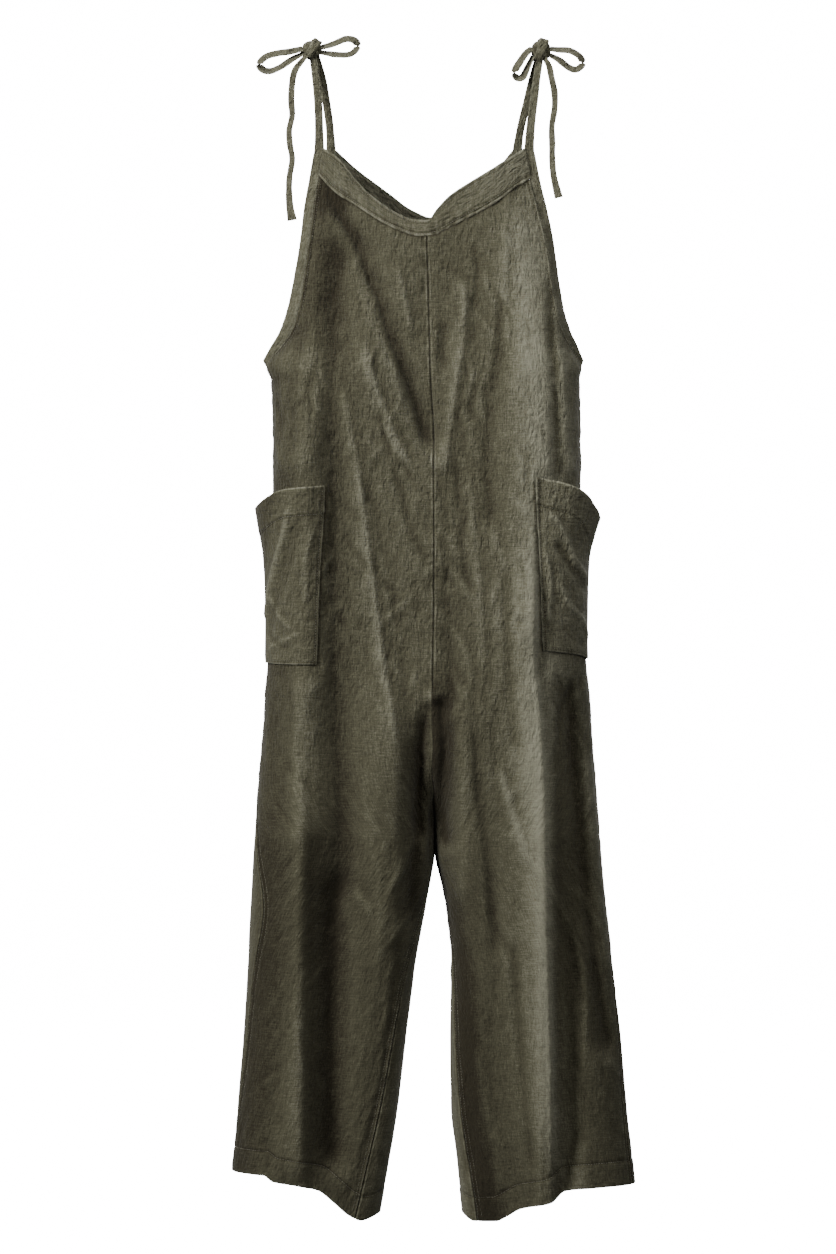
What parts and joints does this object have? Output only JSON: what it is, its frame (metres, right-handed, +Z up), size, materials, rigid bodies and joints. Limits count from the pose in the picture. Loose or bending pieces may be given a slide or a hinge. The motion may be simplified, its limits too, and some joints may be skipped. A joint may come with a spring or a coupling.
{
  "type": "overalls",
  "caption": "Sleeveless wide-leg overalls, hollow and open at neck, armholes and hems, hung from straps tied in bows, with patch pockets at the sides.",
  "frame": {"origin": "midway between the undersides of the two tied knots that the garment hangs by", "axes": "+Z up the hanging garment, +X to the wearer's left, +Y to the wearer's back"},
  "size_m": [0.4898, 0.1417, 1.4384],
  "materials": {
    "front_right": "washed linen, plain weave, matt, creased",
    "front_left": "washed linen, plain weave, matt, creased",
    "back_right": "washed linen, plain weave, matt, creased",
    "back_left": "washed linen, plain weave, matt, creased",
    "neck_band_front": "washed linen, plain weave, matt, creased",
    "neck_band_back": "washed linen, plain weave, matt, creased",
    "armhole_binding_right": "washed linen, plain weave, matt, creased",
    "armhole_binding_left": "washed linen, plain weave, matt, creased",
    "pocket_right": "washed linen, plain weave, matt, creased",
    "pocket_left": "washed linen, plain weave, matt, creased",
    "knot_right": "washed linen, plain weave, matt, creased",
    "knot_left": "washed linen, plain weave, matt, creased",
    "bow_right_outer_loop": "washed linen, plain weave, matt, creased",
    "bow_right_inner_loop": "washed linen, plain weave, matt, creased",
    "bow_left_inner_loop": "washed linen, plain weave, matt, creased",
    "bow_left_outer_loop": "washed linen, plain weave, matt, creased",
    "tie_end_right": "washed linen, plain weave, matt, creased",
    "tie_end_left": "washed linen, plain weave, matt, creased"
  },
  "bodies": {
    "root": {"front_right": "front_right", "front_left": "front_left", "back_right": "back_right", "back_left": "back_left", "neck_band_front": "neck_band_front", "neck_band_back": "neck_band_back", "armhole_binding_right": "armhole_binding_right", "armhole_binding_left": "armhole_binding_left", "pocket_right": "pocket_right", "pocket_left": "pocket_left", "knot_right": "knot_right", "knot_left": "knot_left", "bow_right_outer_loop": "bow_right_outer_loop", "bow_right_inner_loop": "bow_right_inner_loop", "bow_left_inner_loop": "bow_left_inner_loop", "bow_left_outer_loop": "bow_left_outer_loop", "tie_end_right": "tie_end_right", "tie_end_left": "tie_end_left"}
  },
  "joints": []
}
